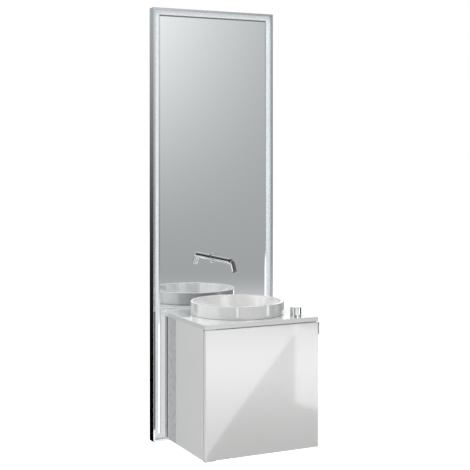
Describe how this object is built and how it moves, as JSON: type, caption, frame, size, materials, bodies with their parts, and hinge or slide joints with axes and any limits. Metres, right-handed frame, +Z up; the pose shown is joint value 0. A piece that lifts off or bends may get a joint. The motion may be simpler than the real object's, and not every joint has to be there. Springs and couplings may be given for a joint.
{
  "type": "vanity unit with basin",
  "caption": "Wall-hung washplace: lit mirror panel, small cabinet with a side-hung door, round basin, wall spout and deck control.",
  "frame": {"origin": "on the wall plane, at the centre of the four wall-bolt holes of the carrier frame", "axes": "+X to the user's right, +Y into the wall, +Z up; the front faces -Y"},
  "size_m": [0.5, 0.473, 1.61],
  "materials": {
    "frame_aluminium": "fine brushed and anodised",
    "opal_plastic": "satin opal, lit from behind",
    "mirror_glass": "polished silvered glass, bevelled edge",
    "inner_plastic": "moulded",
    "back_sheet_steel": "grey coated sheet",
    "plated_steel": "zinc plated",
    "black_rubber": "matt",
    "clear_seal": "smooth light silicone",
    "lead_plastic": "satin cable sheath",
    "white_lacquer": "high-gloss white lacquer on board",
    "dark_profile": "dark anodised",
    "natural_beech": "plain turned beech",
    "white_glass": "polished glass, painted white behind",
    "clear_glass": "polished float glass",
    "door_lacquer": "mirror-polished white lacquer on board",
    "hinge_steel": "ground",
    "bush_plastic": "moulded, self-lubricating",
    "pull_aluminium": "satin anodised",
    "white_ceramic": "white glaze",
    "chrome": "polished",
    "raw_brass": "machined",
    "aerator_plastic": "moulded",
    "hose_braid": "braided steel wire"
  },
  "bodies": {
    "unit": {"frame_left": "frame_aluminium", "frame_right": "frame_aluminium", "frame_top": "frame_aluminium", "frame_bottom": "frame_aluminium", "corner_keys": "plated_steel", "light_diffuser_left": "opal_plastic", "light_diffuser_right": "opal_plastic", "light_diffuser_top": "opal_plastic", "light_diffuser_bottom": "opal_plastic", "led_strips": "inner_plastic", "mirror_glass": "mirror_glass", "back_sheet": "back_sheet_steel", "led_driver": "inner_plastic", "driver_lead": "lead_plastic", "cable_grommet": "black_rubber", "wall_rail": "plated_steel", "hook_rail": "plated_steel", "carrier_frame": "plated_steel", "hanger_bolts": "plated_steel", "rear_post_left": "white_lacquer", "rear_post_right": "white_lacquer", "shadow_profile_left": "dark_profile", "shadow_profile_right": "dark_profile", "ribbed_profile_left": "white_lacquer", "ribbed_profile_right": "white_lacquer", "side_panel_left": "white_lacquer", "side_panel_right": "white_lacquer", "bottom_panel": "white_lacquer", "cabinet_dowels": "natural_beech", "deck_rails": "plated_steel", "deck": "white_glass", "deck_seal": "clear_seal", "shelf": "clear_glass", "shelf_pins": "hinge_steel", "hinge_brackets": "hinge_steel", "magnet_catch": "bush_plastic", "basin": "white_ceramic", "basin_seal": "clear_seal", "waste_body": "chrome", "waste_nut": "raw_brass", "trap_body": "chrome", "trap_cup": "chrome", "outlet_pipe": "chrome", "spout": "chrome", "spout_rosette": "chrome", "aerator": "aerator_plastic", "spout_connector": "raw_brass", "control_body": "chrome", "control_nut": "raw_brass", "hose_nuts": "chrome", "cold_hose": "hose_braid", "hot_hose": "hose_braid", "spout_hose": "hose_braid"},
    "door": {"door_panel": "door_lacquer", "edge_pull": "pull_aluminium", "hinge_bushes": "bush_plastic", "strike_plate": "hinge_steel"},
    "control": {"control_knob": "chrome", "control_spindle": "raw_brass"},
    "plug": {"waste_plug": "chrome"}
  },
  "joints": [
    {"name": "door_hinge", "type": "hinge", "parent": "unit", "child": "door", "pos_m": [-0.2145, -0.432, -0.0025], "axis": [0, 0, -1], "range_deg": [0, 105]},
    {"name": "control_turn", "type": "hinge", "parent": "unit", "child": "control", "pos_m": [0.1595, -0.38408, 0.241], "axis": [0, 0, 1], "range_deg": [0, 120]},
    {"name": "plug_slide", "type": "slide", "parent": "unit", "child": "plug", "axis": [0, 0, 1], "range_m": [0, 0.007]}
  ]
}
